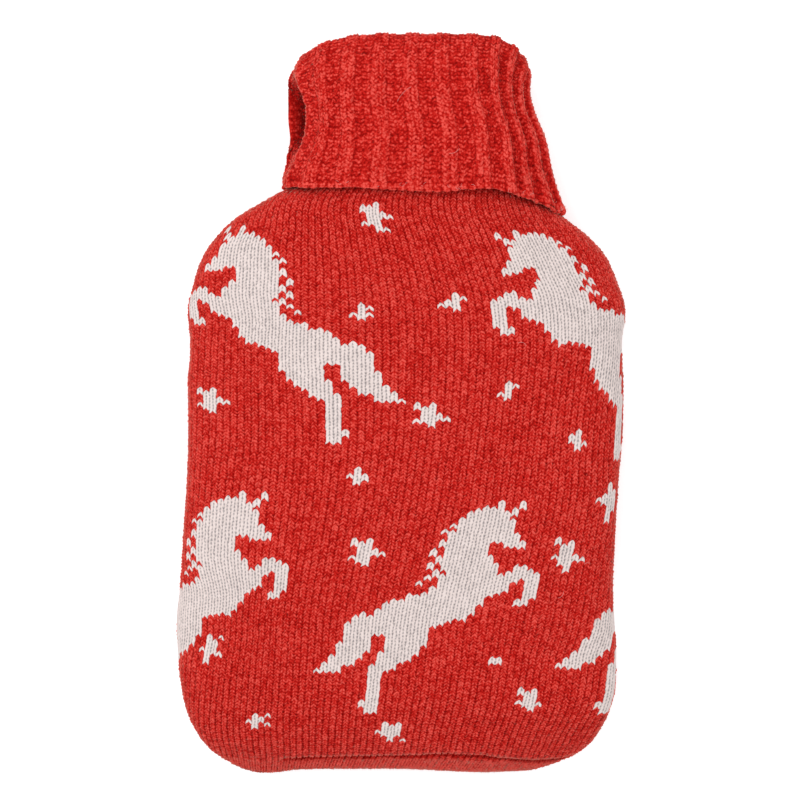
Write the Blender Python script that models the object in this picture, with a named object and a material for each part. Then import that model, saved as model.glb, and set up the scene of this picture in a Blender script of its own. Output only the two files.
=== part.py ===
"""Knitted hot water bottle cover: a hollow knitted bag with a ribbed roll neck.

The cover lies on its back in the form it keeps when it is filled. +Z is up, the neck points to +Y, and the
origin is under the middle of the whole cover. Sizes are in millimetres until a mesh gets its points, and in
metres from there on.

Each piece is a flat grid wrapped round a form. The grid's short way goes round a section, the cut square to Y,
and its long way goes from section to section as the tables below list them.
"""

import math
from typing import NamedTuple

import bmesh
import bpy

MM = 0.001

# Driving dimensions
BODY_SHEET = 2.8            # thickness of the bag's knit
RIB_SHEET = 2.4             # thickness of the collar's ribbed knit
RIB_COUNT = 20              # raised ribs round the collar
RIB_WIDTH = 14.2            # one rib and one furrow on the collar's front
RIB_SPREAD = 1.15           # most that the front's ribs may be wider than an even share
RIB_RELIEF = 1.3            # height of a raised rib
THROAT_RELIEF = 0.8         # the same in the throat, where the ribs are drawn together
RIB_PROFILE = (1.0, 1.0, 0.5, 0.0, 0.0, 0.5)    # one rib and one furrow, in points round the section
BODY_POINTS = 60            # points round the bag
NECK_SEAM_Y = 122.0         # where the bag ends
SEAM_GAP = 0.3              # from there to the collar's end
MERGE = 1e-6                # metres

# Yarn
RED = (0.58, 0.03, 0.02)
RIB_RED = (0.56, 0.028, 0.019)
YARN_ROUGHNESS = 0.9

# Section shape: how square its front is, how square its back is, and how much of the back lies flat
BODY_FORM = (2.6, 3.2, 1.10)
COLLAR_FORM = (3.0, 2.8, 1.04)

# Seam groove across the front, just in from the bottom edge
GROOVE_Y = -168.3
GROOVE_DEPTH = 3.4
GROOVE_WIDTH = 1.9
GROOVE_LEFT = -57.0
GROOVE_RIGHT = 82.0
GROOVE_FADE = 9.0
GROOVE_FRONT = 0.5          # sine of the angle round the section by which it has its full depth
GROOVE_ROOM = 6.0           # it is shallower where the front stands less than this above the widest line

# Lower left corner, where the bag sags past its straight bottom edge
SAG_X = -65.0
SAG_WIDTH = 13.0
SAG_DEPTH = 1.9
SAG_FROM_Y = -150.0
SAG_LENGTH = 20.0

# Tuck in the collar's left side
TUCK_Y = 138.0
TUCK_LENGTH = 16.0
TUCK_ANGLE = math.radians(15.0)
TUCK_BELOW = math.radians(8.0)      # how far round it reaches below and above its deepest line
TUCK_ABOVE = math.radians(13.0)
TUCK_INSIDE = 1.7                   # how much wider the tuck is on the sheet's hidden face
TUCK_DEPTH = 13.0

# Free edge of the collar, which dips at its right end
DIP_FROM_X = 38.0
DIP_LENGTH = 40.0
DIP_DEPTH = 10.5
DIP_SWING = 0.34            # how far the dipped edge swings out, as a share of its dip
DIP_ROWS = 4.0              # sections over which the dip fades
DIP_BACK = -0.9             # sine of the angle round the section at which the dip starts, on the back
DIP_ROUND = 0.8             # and how much more of it brings the full dip


class Section(NamedTuple):
    """One cut through a piece: where it is, its two sides, its lowest and highest point, its widest height."""
    y: float
    left: float
    right: float
    low: float
    high: float
    edge: float


# Outer face of the bag, from the neck to the bottom
BODY_SECTIONS = (
    Section(NECK_SEAM_Y, -31.0, 43.0, 7.4, 36.0, 21.0),
    Section(114.0, -36.5, 47.5, 7.0, 36.4, 21.0),
    Section(108.0, -42.5, 52.0, 6.5, 37.1, 20.6),
    Section(103.0, -50.0, 58.0, 5.8, 37.8, 20.2),
    Section(98.0, -62.5, 65.5, 4.7, 38.8, 19.6),
    Section(93.0, -72.2, 72.4, 3.3, 39.8, 19.0),
    Section(88.0, -79.8, 79.0, 1.9, 40.8, 18.5),
    Section(80.0, -88.0, 89.3, 0.5, 42.2, 18.2),
    Section(70.0, -94.8, 98.0, 0.0, 43.4, 18.0),
    Section(58.0, -98.9, 103.2, 0.0, 44.2, 18.0),
    Section(44.0, -101.7, 107.0, 0.0, 44.6, 18.0),
    Section(28.0, -100.5, 105.4, 0.0, 44.8, 18.0),
    Section(8.0, -101.7, 106.1, 0.0, 45.0, 18.0),
    Section(-14.0, -101.5, 105.6, 0.0, 45.0, 18.0),
    Section(-38.0, -102.3, 103.6, 0.0, 45.0, 18.0),
    Section(-62.0, -103.9, 102.2, 0.0, 45.0, 18.0),
    Section(-86.0, -105.4, 101.0, 0.0, 45.0, 18.0),
    Section(-104.0, -107.1, 101.9, 0.0, 44.9, 18.0),
    Section(-120.0, -106.4, 102.8, 0.0, 44.4, 17.6),
    Section(-134.0, -105.0, 102.4, 0.0, 43.0, 17.0),
    Section(-145.0, -102.8, 100.0, 0.0, 40.6, 16.2),
    Section(-154.0, -99.2, 96.0, 0.0, 36.8, 15.0),
    Section(-160.0, -95.6, 92.2, 0.2, 32.6, 13.8),
    Section(-164.2, -92.2, 88.4, 0.8, 28.2, 12.8),
    Section(-166.5, -89.8, 85.4, 1.4, 25.0, 12.0),
    Section(-168.3, -87.6, 82.4, 2.0, 22.2, 11.4),
    Section(-170.1, -84.9, 78.6, 3.0, 19.6, 10.8),
    Section(-172.4, -80.4, 72.6, 4.6, 16.6, 10.3),
    Section(-174.2, -75.4, 66.4, 6.8, 13.6, 10.1),
    Section(-175.0, -70.0, 60.0, 10.0, 10.0, 10.0),
)

# Inner face of the bag: its last sections close it a little inside the outer face
BODY_INNER_END = (
    Section(-164.2, -89.4, 85.6, 3.6, 23.2, 12.8),
    Section(-168.0, -84.9, 79.6, 5.4, 17.2, 11.4),
    Section(-170.6, -78.0, 70.0, 11.0, 11.0, 11.0),
)
BODY_INNER_ROWS = 23        # rows of the outer table that the inner face follows

# Face of the collar that shows: free edge, up the flap, over the fold, down the throat to the neck seam
FLAP_SECTIONS = (
    Section(102.8, -57.4, 74.2, 1.4, 44.4, 21.5),
    Section(108.0, -55.6, 71.8, 1.5, 44.6, 21.5),
    Section(116.0, -53.6, 70.2, 1.7, 44.4, 21.5),
    Section(127.0, -52.9, 67.4, 2.1, 43.6, 21.5),
    Section(138.0, -53.8, 63.4, 2.6, 42.4, 21.5),
    Section(148.0, -53.7, 61.2, 3.2, 41.0, 21.5),
    Section(157.0, -53.0, 60.6, 4.0, 39.4, 21.4),
    Section(165.0, -51.8, 59.8, 5.2, 37.2, 21.2),
    Section(171.0, -49.2, 59.2, 7.0, 34.8, 21.0),
)
FOLD_SECTIONS = (
    Section(174.4, -47.4, 58.0, 9.0, 32.6, 20.8),
    Section(175.6, -44.6, 55.6, 11.4, 30.2, 20.6),
    Section(174.2, -42.2, 53.0, 13.2, 28.2, 20.6),
)
THROAT_SECTIONS = (
    Section(168.0, -40.4, 51.0, 13.6, 27.8, 20.6),
    Section(156.0, -36.4, 47.4, 13.2, 28.4, 20.8),
    Section(140.0, -31.2, 42.8, 11.8, 30.6, 21.0),
    Section(NECK_SEAM_Y + SEAM_GAP, -28.2, 40.2, 10.2, 33.2, 21.0),
)
# Hidden face of the collar where the fold turns round it
FOLD_INSIDE = Section(173.0, -44.8, 55.0, 10.4, 31.2, 20.8)
FOLD_TURNS = (45.0, 90.0, 135.0)    # degrees that the cloth has turned at each section of the fold

# Above here the collar's sides sink below its middle, sooner at its left than at its right
ROUNDED_FROM_Y = 140.0
ROUNDED_LENGTH = 34.0
ROUNDED_DROP = 9.0
ROUNDED_LEFT_POWER = 3.9
ROUNDED_RIGHT_POWER = 7.2


def smooth_step(value: float) -> float:
    """Goes softly from 0 to 1 as the value does, and stays there."""
    t = min(max(value, 0.0), 1.0)
    return t * t * (3.0 - 2.0 * t)


def inset(section: Section, by: float) -> Section:
    """The same cut through the other face of a sheet, which lies `by` inside this one."""
    return Section(section.y, section.left + by, section.right - by,
                   section.low + by, section.high - by, section.edge)


def outline_point(section: Section, form: tuple, angle: float) -> tuple:
    """Place on a section, counted from its right side over the front: a rounded box with a flattened back."""
    front_power, back_power, back_flat = form
    centre = (section.left + section.right) / 2.0
    half = (section.right - section.left) / 2.0
    cosine, sine = math.cos(angle), math.sin(angle)
    reach = abs(cosine) ** (2.0 / front_power)
    if sine >= 0.0:
        rise = abs(sine) ** (2.0 / front_power)
        z = section.edge + (section.high - section.edge) * rise
    else:
        rise = min(1.0, back_flat * max(0.0, 1.0 - reach ** back_power) ** (1.0 / back_power))
        z = section.edge - (section.edge - section.low) * rise
    return centre + math.copysign(half * reach, cosine), z


def rib_angles(section: Section) -> list:
    """Angles of the collar's points round a section, from the middle of its back round the right side.

    Over the front the ribs keep their own width. The back takes up what is over, softly.
    """
    steps = 720
    angles = [-math.pi / 2.0 + 2.0 * math.pi * i / steps for i in range(steps + 1)]
    places = [outline_point(section, COLLAR_FORM, angle) for angle in angles]
    lengths = [0.0]
    for here, there in zip(places, places[1:]):
        lengths.append(lengths[-1] + math.dist(here, there))
    around = lengths[-1]
    width = min(max(1.0, RIB_WIDTH * RIB_COUNT / around), RIB_SPREAD)
    count = RIB_COUNT * len(RIB_PROFILE)
    picked, at = [], 0
    for i in range(count):
        from_front = 2.0 * i / count - 1.0
        wanted = around / 2.0 * (1.0 + width * from_front + (1.0 - width) * from_front ** 3)
        while lengths[at + 1] < wanted:
            at += 1
        share = (wanted - lengths[at]) / (lengths[at + 1] - lengths[at])
        picked.append(angles[at] + share * (angles[at + 1] - angles[at]))
    return picked


def body_ring(section: Section) -> list:
    """Points round one section of the bag, with the seam groove and the sagging corner."""
    ring = []
    for i in range(BODY_POINTS):
        angle = 2.0 * math.pi * i / BODY_POINTS
        x, z = outline_point(section, BODY_FORM, angle)
        along = smooth_step((x - GROOVE_LEFT) / GROOVE_FADE) * smooth_step((GROOVE_RIGHT - x) / GROOVE_FADE)
        across = math.exp(-((section.y - GROOVE_Y) / GROOVE_WIDTH) ** 2)
        on_front = smooth_step(math.sin(angle) / GROOVE_FRONT)
        on_front *= smooth_step((section.high - section.edge) / GROOVE_ROOM)
        z -= GROOVE_DEPTH * along * across * on_front
        sag = SAG_DEPTH * math.exp(-((x - SAG_X) / SAG_WIDTH) ** 2)
        sag *= smooth_step((SAG_FROM_Y - section.y) / SAG_LENGTH)
        ring.append((x, section.y - sag, z))
    return ring


def tuck_push(section: Section, angle: float, widened: float) -> float:
    """How far the collar's left side is pushed in by its tuck, at an angle from the right side."""
    from_tuck = math.pi - angle - TUCK_ANGLE
    spread = widened * (TUCK_ABOVE if from_tuck > 0.0 else TUCK_BELOW)
    round_it = math.exp(-(from_tuck / spread) ** 2)
    along_it = math.exp(-((section.y - TUCK_Y) / TUCK_LENGTH) ** 2)
    return TUCK_DEPTH * round_it * along_it


def collar_ring(section: Section, relief: float, turn: float, hangs: float, widened: float = 1.0) -> list:
    """Points round one section of the collar.

    relief is the height of its ribs there. turn is how far the cloth has turned over, in degrees: 0 where its
    shown face looks outward, 180 in the throat. hangs goes from 0 above to 1 at the free edge. widened is how
    much wider than on the shown face the tuck is.
    """
    ring = []
    centre = (section.left + section.right) / 2.0
    half = (section.right - section.left) / 2.0
    outward = relief * math.cos(math.radians(turn))
    upward = relief * math.sin(math.radians(turn))
    high_up = smooth_step((section.y - ROUNDED_FROM_Y) / ROUNDED_LENGTH)
    for i, angle in enumerate(rib_angles(section)):
        x, z = outline_point(section, COLLAR_FORM, angle)
        side = abs(x - centre) / half
        power = ROUNDED_LEFT_POWER if x < centre else ROUNDED_RIGHT_POWER
        sunk = ROUNDED_DROP * high_up * side ** power
        raised = RIB_PROFILE[i % len(RIB_PROFILE)]
        cosine, sine = math.cos(angle), math.sin(angle)
        x += outward * raised * cosine * abs(cosine)
        z = max(z + outward * raised * sine * abs(sine), 0.0)
        if turn == 0.0:
            x += tuck_push(section, angle, widened)
        front = smooth_step((sine - DIP_BACK) / DIP_ROUND)
        dip = DIP_DEPTH * smooth_step((x - DIP_FROM_X) / DIP_LENGTH) * hangs * front
        ring.append((x + DIP_SWING * dip, section.y + upward * raised - sunk - dip, z))
    return ring


def wrap(name: str, rings: list, closed_tube: bool) -> bpy.types.Object:
    """Wraps a flat grid round rings of equal count and welds its edges.

    A closed tube's last ring meets its first. Otherwise the end rings are flat seams that weld to themselves.
    """
    rows = rings + rings[:1] if closed_tube else rings
    around = len(rings[0])
    mesh_builder = bmesh.new()
    bmesh.ops.create_grid(mesh_builder, x_segments=around, y_segments=len(rows) - 1, size=0.5)
    for vert in mesh_builder.verts:
        column = round((vert.co.x + 0.5) * around) % around
        row = round((vert.co.y + 0.5) * (len(rows) - 1))
        vert.co = [MM * value for value in rows[row][column]]
    bmesh.ops.remove_doubles(mesh_builder, verts=mesh_builder.verts, dist=MERGE)
    bmesh.ops.recalc_face_normals(mesh_builder, faces=mesh_builder.faces)
    mesh = bpy.data.meshes.new(name)
    mesh_builder.to_mesh(mesh)
    mesh_builder.free()
    mesh.shade_smooth()
    item = bpy.data.objects.new(name, mesh)
    bpy.context.scene.collection.objects.link(item)
    return item


def make_body() -> bpy.types.Object:
    """The bag: its outer face from the bottom seam to the neck, then its inner face back to the bottom."""
    outer = [body_ring(section) for section in reversed(BODY_SECTIONS)]
    inner = [body_ring(inset(section, BODY_SHEET)) for section in BODY_SECTIONS[:BODY_INNER_ROWS]]
    end = [body_ring(section) for section in BODY_INNER_END]
    return wrap("body", outer + inner + end, closed_tube=False)


def other_face(ring: list, thickness: float) -> list:
    """The ring on the far side of the sheet: each point moved inward, square to the ring, by the thickness."""
    moved = []
    for before, (x, y, z), after in zip(ring[-1:] + ring[:-1], ring, ring[1:] + ring[:1]):
        along_x, along_z = after[0] - before[0], after[2] - before[2]
        scale = thickness / math.hypot(along_x, along_z)
        moved.append((x - along_z * scale, y, z + along_x * scale))
    return moved


def make_collar() -> bpy.types.Object:
    """The roll neck: the face that shows from free edge to neck seam, then the hidden face back again."""
    hangs = [max(0.0, 1.0 - row / DIP_ROWS) for row in range(len(FLAP_SECTIONS))]
    flap = [collar_ring(section, RIB_RELIEF, 0.0, dips) for section, dips in zip(FLAP_SECTIONS, hangs)]
    fold = [collar_ring(section, RIB_RELIEF, turn, 0.0) for section, turn in zip(FOLD_SECTIONS, FOLD_TURNS)]
    throat = [collar_ring(section, THROAT_RELIEF, 180.0, 0.0) for section in THROAT_SECTIONS[:-1]]
    throat.append(collar_ring(THROAT_SECTIONS[-1], 0.0, 180.0, 0.0))
    hidden = [other_face(ring, -RIB_SHEET) for ring in reversed(throat)]
    hidden.append(collar_ring(FOLD_INSIDE, RIB_RELIEF, 90.0, 0.0))
    hidden += [collar_ring(inset(section, RIB_SHEET), RIB_RELIEF, 0.0, dips, TUCK_INSIDE)
               for section, dips in zip(reversed(FLAP_SECTIONS), reversed(hangs))]
    rings = flap + fold + throat + hidden
    return wrap("collar", rings, closed_tube=True)


def knit_material(name: str, colour: tuple) -> bpy.types.Material:
    """Plain yarn finish for a piece."""
    material = bpy.data.materials.new(name)
    material.use_nodes = True
    shader = material.node_tree.nodes["Principled BSDF"]
    shader.inputs["Base Color"].default_value = (*colour, 1.0)
    shader.inputs["Roughness"].default_value = YARN_ROUGHNESS
    shader.inputs["Metallic"].default_value = 0.0
    return material


def main() -> None:
    """Clears the scene and builds the two pieces."""
    for item in list(bpy.data.objects):
        bpy.data.objects.remove(item, do_unlink=True)
    make_body().data.materials.append(knit_material("red_body_knit", RED))
    make_collar().data.materials.append(knit_material("red_rib_knit", RIB_RED))


main()
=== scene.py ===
"""Looks of the knitted hot water bottle cover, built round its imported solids.

The bag and its roll neck are knitted again here stitch by stitch: every stitch is a cell of a flat grid that
is laid on the cover's form and raised into two slanting legs. Sizes are in millimetres until a mesh gets its
points, and in metres from there on. +Z is up, out of the cover's front, and the neck points to +Y.
"""

import sys

import logging
import math
from dataclasses import dataclass
from enum import Enum
from typing import Callable, NamedTuple

import bmesh
import bpy
import numpy as np
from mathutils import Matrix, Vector
from mathutils.bvhtree import BVHTree

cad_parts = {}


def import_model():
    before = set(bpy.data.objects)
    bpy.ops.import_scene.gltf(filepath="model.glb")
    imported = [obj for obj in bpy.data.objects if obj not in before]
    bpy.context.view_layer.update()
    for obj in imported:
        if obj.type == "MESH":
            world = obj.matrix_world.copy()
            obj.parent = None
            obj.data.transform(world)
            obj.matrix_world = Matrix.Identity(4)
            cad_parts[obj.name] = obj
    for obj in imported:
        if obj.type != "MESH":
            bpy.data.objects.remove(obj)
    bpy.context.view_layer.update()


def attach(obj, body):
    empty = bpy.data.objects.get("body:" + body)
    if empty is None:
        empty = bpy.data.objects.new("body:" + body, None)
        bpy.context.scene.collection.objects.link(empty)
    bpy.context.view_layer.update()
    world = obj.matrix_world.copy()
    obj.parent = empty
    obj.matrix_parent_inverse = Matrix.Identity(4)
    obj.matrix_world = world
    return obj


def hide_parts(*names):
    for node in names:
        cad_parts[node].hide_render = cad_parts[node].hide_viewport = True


log = logging.getLogger("knitted cover")

MM = 0.001
RED_SLOT = "red_chenille"
CREAM_SLOT = "cream_yarn"
BODY = "root"


# ---------------------------------------------------------------- form of the cover


class Section(NamedTuple):
    """A cut square to Y: its place, its sides, its lowest and highest points and the height of its edge."""

    y: float
    left: float
    right: float
    low: float
    high: float
    edge: float


@dataclass(frozen=True)
class Form:
    """Shape of a section: how square its front and its back are, and how much of the back lies flat."""

    front_power: float
    back_power: float
    back_flat: float


def cuts(*rows: tuple[float, ...]) -> tuple[Section, ...]:
    """Makes sections of rows of their numbers."""
    return tuple(Section(*row) for row in rows)


BODY_SECTIONS = cuts(
    (122.0, -31.0, 43.0, 7.4, 36.0, 21.0),
    (114.0, -36.5, 47.5, 7.0, 36.4, 21.0),
    (108.0, -42.5, 52.0, 6.5, 37.1, 20.6),
    (103.0, -50.0, 58.0, 5.8, 37.8, 20.2),
    (98.0, -62.5, 65.5, 4.7, 38.8, 19.6),
    (93.0, -72.2, 72.4, 3.3, 39.8, 19.0),
    (88.0, -79.8, 79.0, 1.9, 40.8, 18.5),
    (80.0, -88.0, 89.3, 0.5, 42.2, 18.2),
    (70.0, -94.8, 98.0, 0.0, 43.4, 18.0),
    (58.0, -98.9, 103.2, 0.0, 44.2, 18.0),
    (44.0, -101.7, 107.0, 0.0, 44.6, 18.0),
    (28.0, -100.5, 105.4, 0.0, 44.8, 18.0),
    (8.0, -101.7, 106.1, 0.0, 45.0, 18.0),
    (-14.0, -101.5, 105.6, 0.0, 45.0, 18.0),
    (-38.0, -102.3, 103.6, 0.0, 45.0, 18.0),
    (-62.0, -103.9, 102.2, 0.0, 45.0, 18.0),
    (-86.0, -105.4, 101.0, 0.0, 45.0, 18.0),
    (-104.0, -107.1, 101.9, 0.0, 44.9, 18.0),
    (-120.0, -106.4, 102.8, 0.0, 44.4, 17.6),
    (-134.0, -105.0, 102.4, 0.0, 43.0, 17.0),
    (-145.0, -102.8, 100.0, 0.0, 40.6, 16.2),
    (-154.0, -99.2, 96.0, 0.0, 36.8, 15.0),
    (-160.0, -95.6, 92.2, 0.2, 32.6, 13.8),
    (-164.2, -92.2, 88.4, 0.8, 28.2, 12.8),
    (-166.5, -89.8, 85.4, 1.4, 25.0, 12.0),
    (-168.3, -87.6, 82.4, 2.0, 22.2, 11.4),
    (-170.1, -84.9, 78.6, 3.0, 19.6, 10.8),
    (-172.4, -80.4, 72.6, 4.6, 16.6, 10.3),
    (-174.2, -75.4, 66.4, 6.8, 13.6, 10.1),
    (-175.0, -70.0, 60.0, 10.0, 10.0, 10.0),
)
BODY_FORM = Form(2.6, 3.2, 1.10)
BODY_SHEET = 2.8
EVEN_SECTIONS = 23          # down to Y -160, where the bag is still open wide enough for both its faces


def other_side(cut: Section) -> Section:
    """The cut through the cloth's other face, inside the bag."""
    left, right = cut.left + BODY_SHEET, cut.right - BODY_SHEET
    return Section(cut.y, left, right, cut.low + BODY_SHEET, cut.high - BODY_SHEET, cut.edge)


INNER_SECTIONS = tuple(other_side(cut) for cut in BODY_SECTIONS[:EVEN_SECTIONS]) + cuts(
    (-164.2, -89.4, 85.6, 3.6, 23.2, 12.8),
    (-168.0, -84.9, 79.6, 5.4, 17.2, 11.4),
    (-170.6, -78.0, 70.0, 11.0, 11.0, 11.0),
)

FLAP_SECTIONS = cuts(
    (102.8, -57.4, 74.2, 1.4, 44.4, 21.5),
    (108.0, -55.6, 71.8, 1.5, 44.6, 21.5),
    (116.0, -53.6, 70.2, 1.7, 44.4, 21.5),
    (127.0, -52.9, 67.4, 2.1, 43.6, 21.5),
    (138.0, -53.8, 63.4, 2.6, 42.4, 21.5),
    (148.0, -53.7, 61.2, 3.2, 41.0, 21.5),
    (157.0, -53.0, 60.6, 4.0, 39.4, 21.4),
    (165.0, -51.8, 59.8, 5.2, 37.2, 21.2),
    (171.0, -49.2, 59.2, 7.0, 34.8, 21.0),
)
FOLD_SECTIONS = cuts(
    (174.4, -47.4, 58.0, 9.0, 32.6, 20.8),
    (175.6, -44.6, 55.6, 11.4, 30.2, 20.6),
    (174.2, -42.2, 53.0, 13.2, 28.2, 20.6),
)
THROAT_SECTIONS = cuts(
    (168.0, -40.4, 51.0, 13.6, 27.8, 20.6),
    (156.0, -36.4, 47.4, 13.2, 28.4, 20.8),
    (140.0, -31.2, 42.8, 11.8, 30.6, 21.0),
    (122.3, -28.2, 40.2, 10.2, 33.2, 21.0),
)
COLLAR_FORM = Form(3.0, 2.8, 1.04)
RIB_SHEET = 2.4


def smooth_step(value: np.ndarray | float) -> np.ndarray | float:
    """Goes softly from 0 to 1 as the value does, and stays there."""
    t = np.clip(value, 0.0, 1.0)
    return t * t * (3.0 - 2.0 * t)


def hump(value: np.ndarray, middle: float, width: float, power: int = 2) -> np.ndarray:
    """A soft hump: 1 at its middle, 0.37 at its width from there, with steeper sides for a higher power."""
    return np.exp(-(((value - middle) / width) ** power))


def run_along(across: np.ndarray, up: np.ndarray) -> np.ndarray:
    """Lengths from the first to each point of a chain of points."""
    return np.concatenate([[0.0], np.cumsum(np.hypot(np.diff(across), np.diff(up)))])


def smooth_through(at: np.ndarray, known: np.ndarray, values: np.ndarray) -> np.ndarray:
    """Reads smooth curves through known values, without waves between them.

    Args:
        at: where the curves are read.
        known: rising places of the known values.
        values: one row of values for each place.

    Returns:
        One row of values for each place in at.
    """
    gap = np.diff(known)[:, None]
    slope = np.diff(values, axis=0) / gap
    tangent = np.vstack([slope[:1], np.zeros_like(slope[1:]), slope[-1:]])
    same = slope[1:] * slope[:-1] > 0.0
    total = np.where(same, slope[1:] + slope[:-1], 1.0)
    tangent[1:-1] = np.where(same, 2.0 * slope[1:] * slope[:-1] / total, 0.0)
    cell = np.clip(np.searchsorted(known, at, side="right") - 1, 0, len(gap) - 1)
    width = gap[cell]
    t = np.clip((at[:, None] - known[cell, None]) / width, 0.0, 1.0)
    here, there = values[cell], values[cell + 1]
    bend_here, bend_there = tangent[cell] * width, tangent[cell + 1] * width
    return (
        (2 * t**3 - 3 * t**2 + 1) * here
        + (t**3 - 2 * t**2 + t) * bend_here
        + (3 * t**2 - 2 * t**3) * there
        + (t**3 - t**2) * bend_there
    )


def read_table(table: tuple, at: np.ndarray) -> np.ndarray:
    """Reads a table whose first column rises, smoothly, at any places in that column.

    Args:
        table: rows of (place, value, ...).
        at: places of any array shape.

    Returns:
        The values, with one more axis than at, a column of the table to each.
    """
    rows = np.array(table, float)
    shape = np.shape(at)
    found = smooth_through(np.ravel(at), rows[:, 0], rows[:, 1:])
    return found.reshape(*shape, rows.shape[1] - 1)


class Loft:
    """A face of the cloth through a table of sections, sampled finely once and read between the samples.

    Its two coordinates are level, the length of cloth in millimetres along the middle of the front from the
    first section, and share, the part of the way round a section, from the middle of the back by the left
    side (0.25) and the middle of the front (0.5) to the right side (0.75).
    """

    LEVEL_STEP = 0.8        # millimetres between samples along the cloth
    AROUND = 1152           # samples round it
    ANGLES = 2880           # finer steps round, and along, in which lengths are measured
    ALONG = 4000

    def __init__(self, sections: tuple, form: Form, dress: Callable, extra: np.ndarray | None = None) -> None:
        """Samples the face.

        Args:
            sections: the cuts, in order.
            form: shape of every section.
            dress: moves the sampled points; takes points, angles, sections' rows and extra values.
            extra: more columns of values, a row for each section.
        """
        table = np.array(sections, float)
        count = table.shape[1]
        if extra is not None:
            table = np.hstack([table, extra])
        knots = run_along(table[:, 0], table[:, 4])
        fine = np.linspace(0.0, knots[-1], self.ALONG)
        path = smooth_through(fine, knots, table[:, [0, 4]])
        run = run_along(path[:, 0], path[:, 1])
        self.length = float(run[-1])
        self.levels = max(2, round(self.length / self.LEVEL_STEP)) + 1
        self.level_step = self.length / (self.levels - 1)
        wanted = np.linspace(0.0, self.length, self.levels)
        rows = smooth_through(np.interp(wanted, run, fine), knots, table)
        angles, self.girth = self._even_angles(rows, form)
        x, z = outline(rows, form, angles)
        points = np.stack([x, np.broadcast_to(rows[:, :1], x.shape), z], axis=2)
        self.places = dress(points, angles, rows[:, :count], rows[:, count:])
        self.normals = self._facing()
        self.y_at_level = rows[:, 0]

    def _even_angles(self, rows: np.ndarray, form: Form) -> tuple[np.ndarray, np.ndarray]:
        """Angles that are evenly spaced along each section, and each section's length round."""
        turn = -math.pi / 2.0 - np.linspace(0.0, 2.0 * math.pi, self.ANGLES + 1)
        x, z = outline(rows, form, turn[None, :])
        run = np.array([run_along(*chain) for chain in zip(x, z)])
        girth = run[:, -1]
        shares = np.linspace(0.0, 1.0, self.AROUND + 1)
        angles = np.array([np.interp(shares * length, row, turn) for row, length in zip(run, girth)])
        return angles, girth

    def _facing(self) -> np.ndarray:
        """Directions in which the shown face looks, at the samples."""
        around = np.gradient(self.places, axis=1)
        ends = (self.places[:, 1] - self.places[:, -2]) / 2.0
        around[:, 0] = around[:, -1] = ends
        along = np.gradient(self.places, axis=0)
        facing = np.cross(around, along)
        return facing / np.maximum(np.linalg.norm(facing, axis=2, keepdims=True), 1e-9)

    def read(self, level: np.ndarray, share: np.ndarray) -> tuple[np.ndarray, np.ndarray]:
        """Places and facing directions of the face.

        Args:
            level: levels, kept within the face's length.
            share: shares of the way round, of the same shape, which may pass 0 or 1.

        Returns:
            Places in millimetres and unit directions, with a last axis of three.
        """
        row = np.clip(level / self.level_step, 0.0, self.levels - 1.001)
        column = np.mod(share, 1.0) * self.AROUND
        j, i = row.astype(int), np.minimum(column.astype(int), self.AROUND - 1)
        v, u = (row - j)[..., None], (column - i)[..., None]
        found = []
        for table in (self.places, self.normals):
            low = table[j, i] * (1 - u) + table[j, i + 1] * u
            high = table[j + 1, i] * (1 - u) + table[j + 1, i + 1] * u
            found.append(low * (1 - v) + high * v)
        place, facing = found
        return place, facing / np.maximum(np.linalg.norm(facing, axis=-1, keepdims=True), 1e-9)

    def y_of(self, level: np.ndarray) -> np.ndarray:
        """Y of the sections at some levels."""
        return np.interp(level, np.arange(self.levels) * self.level_step, self.y_at_level)

    def girth_of(self, level: np.ndarray) -> np.ndarray:
        """Length round the sections at some levels."""
        return np.interp(level, np.arange(self.levels) * self.level_step, self.girth)


def outline(rows: np.ndarray, form: Form, angle: np.ndarray) -> tuple[np.ndarray, np.ndarray]:
    """Places round sections: a rounded box with a flattened back.

    Args:
        rows: a section in each row, with the columns of Section first.
        form: shape of the sections.
        angle: angles from the right side over the front, in rows that go with the sections.

    Returns:
        X and Z of the places.
    """
    left, right, low, high, edge = (rows[:, k : k + 1] for k in range(1, 6))
    cosine, sine = np.cos(angle), np.sin(angle)
    reach = np.abs(cosine) ** (2.0 / form.front_power)
    rise = np.abs(sine) ** (2.0 / form.front_power)
    round_back = np.maximum(0.0, 1.0 - reach**form.back_power) ** (1.0 / form.back_power)
    fall = np.minimum(1.0, form.back_flat * round_back)
    x = (left + right) / 2.0 + np.copysign((right - left) / 2.0 * reach, cosine)
    z = np.where(sine >= 0.0, edge + (high - edge) * rise, edge - (edge - low) * fall)
    return x, z


# ---------------------------------------------------------------- motifs, charted in stitches


class Stitches(NamedTuple):
    """A run of cream stitches in one wale of a motif: from the first row up to, and without, the last."""

    wale: int
    first: int
    last: int


def charted(*runs: tuple[int, int, int]) -> tuple:
    """Makes a chart of its runs, each a wale, its first row and the row after its last."""
    return tuple(Stitches(*run) for run in runs)


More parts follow.
